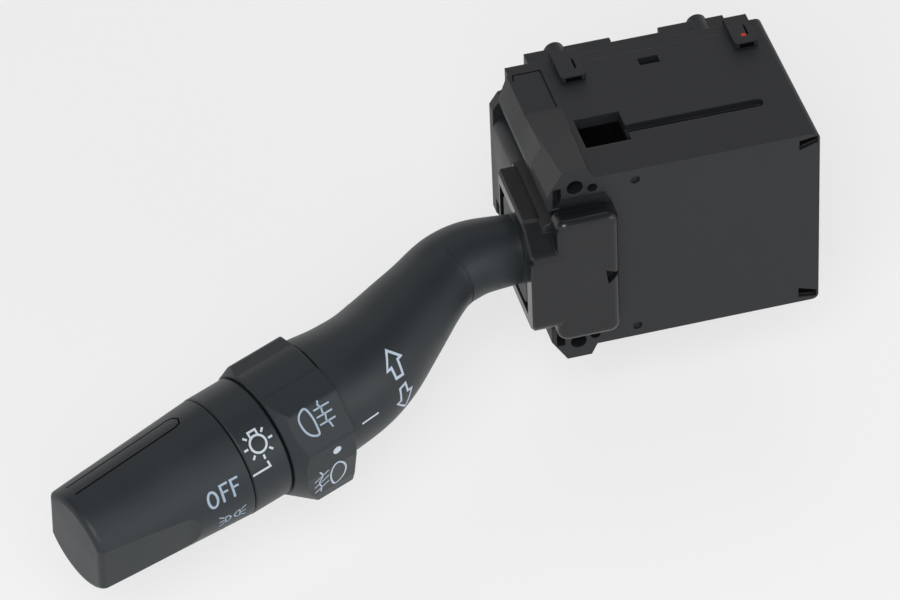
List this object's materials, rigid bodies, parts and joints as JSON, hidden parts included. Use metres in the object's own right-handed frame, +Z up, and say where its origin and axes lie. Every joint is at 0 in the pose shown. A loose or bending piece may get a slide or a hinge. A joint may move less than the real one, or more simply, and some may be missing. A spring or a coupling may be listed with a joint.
{
  "type": "combination stalk switch",
  "caption": "Steering-column stalk switch: bent stalk with rotary light knob and fog collar, rocking in a bracket on a boxed contact housing with a rear connector.",
  "frame": {"origin": "midway between the two fixing-screw holes, on the front face of the case", "axes": "+X along the case away from the stalk, -Y towards the driver, +Z up"},
  "size_m": [0.1893, 0.1114, 0.0542],
  "materials": {
    "case_plastic": "fine matte moulding",
    "bracket_plastic": "glossy moulded acetal",
    "stalk_plastic": "satin, fine grain",
    "knob_plastic": "satin, fine grain",
    "natural_acetal": "natural acetal",
    "contact_board": "phenolic board",
    "contact_copper": "bright spring copper",
    "steel": "plain"
  },
  "bodies": {
    "housing": {"main_case": "case_plastic", "rear_cover": "case_plastic", "terminal_blades": "contact_copper", "turn_detent_cam": "natural_acetal", "turn_contact_plate": "contact_board", "dimmer_contact_plate": "contact_board", "cancel_pin": "steel", "cancel_spring": "steel"},
    "turn_lever": {"turn_bracket": "bracket_plastic", "dimmer_pivot_pin": "steel", "dimmer_cam": "natural_acetal", "turn_detent_spring": "steel"},
    "turn_plunger": {"turn_detent_plunger": "natural_acetal"},
    "turn_contacts": {"turn_slider": "natural_acetal", "turn_wiper": "contact_copper"},
    "dimmer_lever": {"stalk_core": "stalk_plastic", "stalk_sleeve": "stalk_plastic", "dimmer_spring": "steel", "end_spindle": "natural_acetal", "spindle_clip": "steel", "index_ring": "knob_plastic", "fog_contact_disc": "contact_board", "fog_detent_spring": "steel", "light_contact_disc": "contact_board", "light_detent_spring": "steel"},
    "dimmer_detent": {"dimmer_plunger": "steel"},
    "dimmer_contacts": {"dimmer_slider": "natural_acetal", "dimmer_wiper": "contact_copper"},
    "fog_switch": {"fog_collar": "knob_plastic", "fog_wiper": "contact_copper"},
    "fog_ball": {"fog_detent_ball": "steel"},
    "light_switch": {"light_knob": "knob_plastic", "light_wiper": "contact_copper"},
    "light_ball": {"light_detent_ball": "steel"},
    "cancel_lever": {"cancel_pawl": "natural_acetal"}
  },
  "joints": [
    {"name": "turn_signal", "type": "hinge", "parent": "housing", "child": "turn_lever", "pos_m": [0, 0, 0], "axis": [0, 1, 0], "range_deg": [-13, 13]},
    {"name": "turn_plunger_slide", "type": "slide", "parent": "turn_lever", "child": "turn_plunger", "axis": [1, 0, 0], "range_m": [0, 0.0006], "stiffness_N_per_m": 60},
    {"name": "turn_contact_slide", "type": "slide", "parent": "housing", "child": "turn_contacts", "axis": [0, 0, 1], "range_m": [-0.0052, 0.0052]},
    {"name": "dimmer_and_flash", "type": "hinge", "parent": "turn_lever", "child": "dimmer_lever", "pos_m": [0, 0.0098, 0], "axis": [0, 0, 1], "range_deg": [-6, 6]},
    {"name": "dimmer_plunger_slide", "type": "slide", "parent": "dimmer_lever", "child": "dimmer_detent", "axis": [1, 0, 0], "range_m": [0, 0.0004], "stiffness_N_per_m": 60},
    {"name": "dimmer_contact_slide", "type": "slide", "parent": "housing", "child": "dimmer_contacts", "axis": [0, 1, 0], "range_m": [-0.0024, 0.0024]},
    {"name": "fog_collar_turn", "type": "hinge", "parent": "dimmer_lever", "child": "fog_switch", "pos_m": [-0.06598, -0.019, -0.00665], "axis": [-0.9272, -0.365, -0.0843], "range_deg": [-35, 35]},
    {"name": "fog_ball_slide", "type": "slide", "parent": "dimmer_lever", "child": "fog_ball", "axis": [-0.9272, -0.365, -0.0843], "range_m": [-0.0004, 0], "stiffness_N_per_m": 60},
    {"name": "light_knob_turn", "type": "hinge", "parent": "dimmer_lever", "child": "light_switch", "pos_m": [-0.06598, -0.019, -0.00665], "axis": [-0.9272, -0.365, -0.0843], "range_deg": [0, 68]},
    {"name": "light_ball_slide", "type": "slide", "parent": "dimmer_lever", "child": "light_ball", "axis": [-0.9272, -0.365, -0.0843], "range_m": [0, 0.0004], "stiffness_N_per_m": 60},
    {"name": "cancel_pawl_swing", "type": "hinge", "parent": "housing", "child": "cancel_lever", "pos_m": [0.046, 0.015, 0], "axis": [0, 1, 0], "range_deg": [-15, 15], "stiffness_Nm_per_rad": 0.002}
  ],
  "couplings": [
    {"joint": "turn_contact_slide", "follows": "turn_signal", "m_per_rad": -0.022},
    {"joint": "dimmer_contact_slide", "follows": "dimmer_and_flash", "m_per_rad": 0.0215}
  ]
}
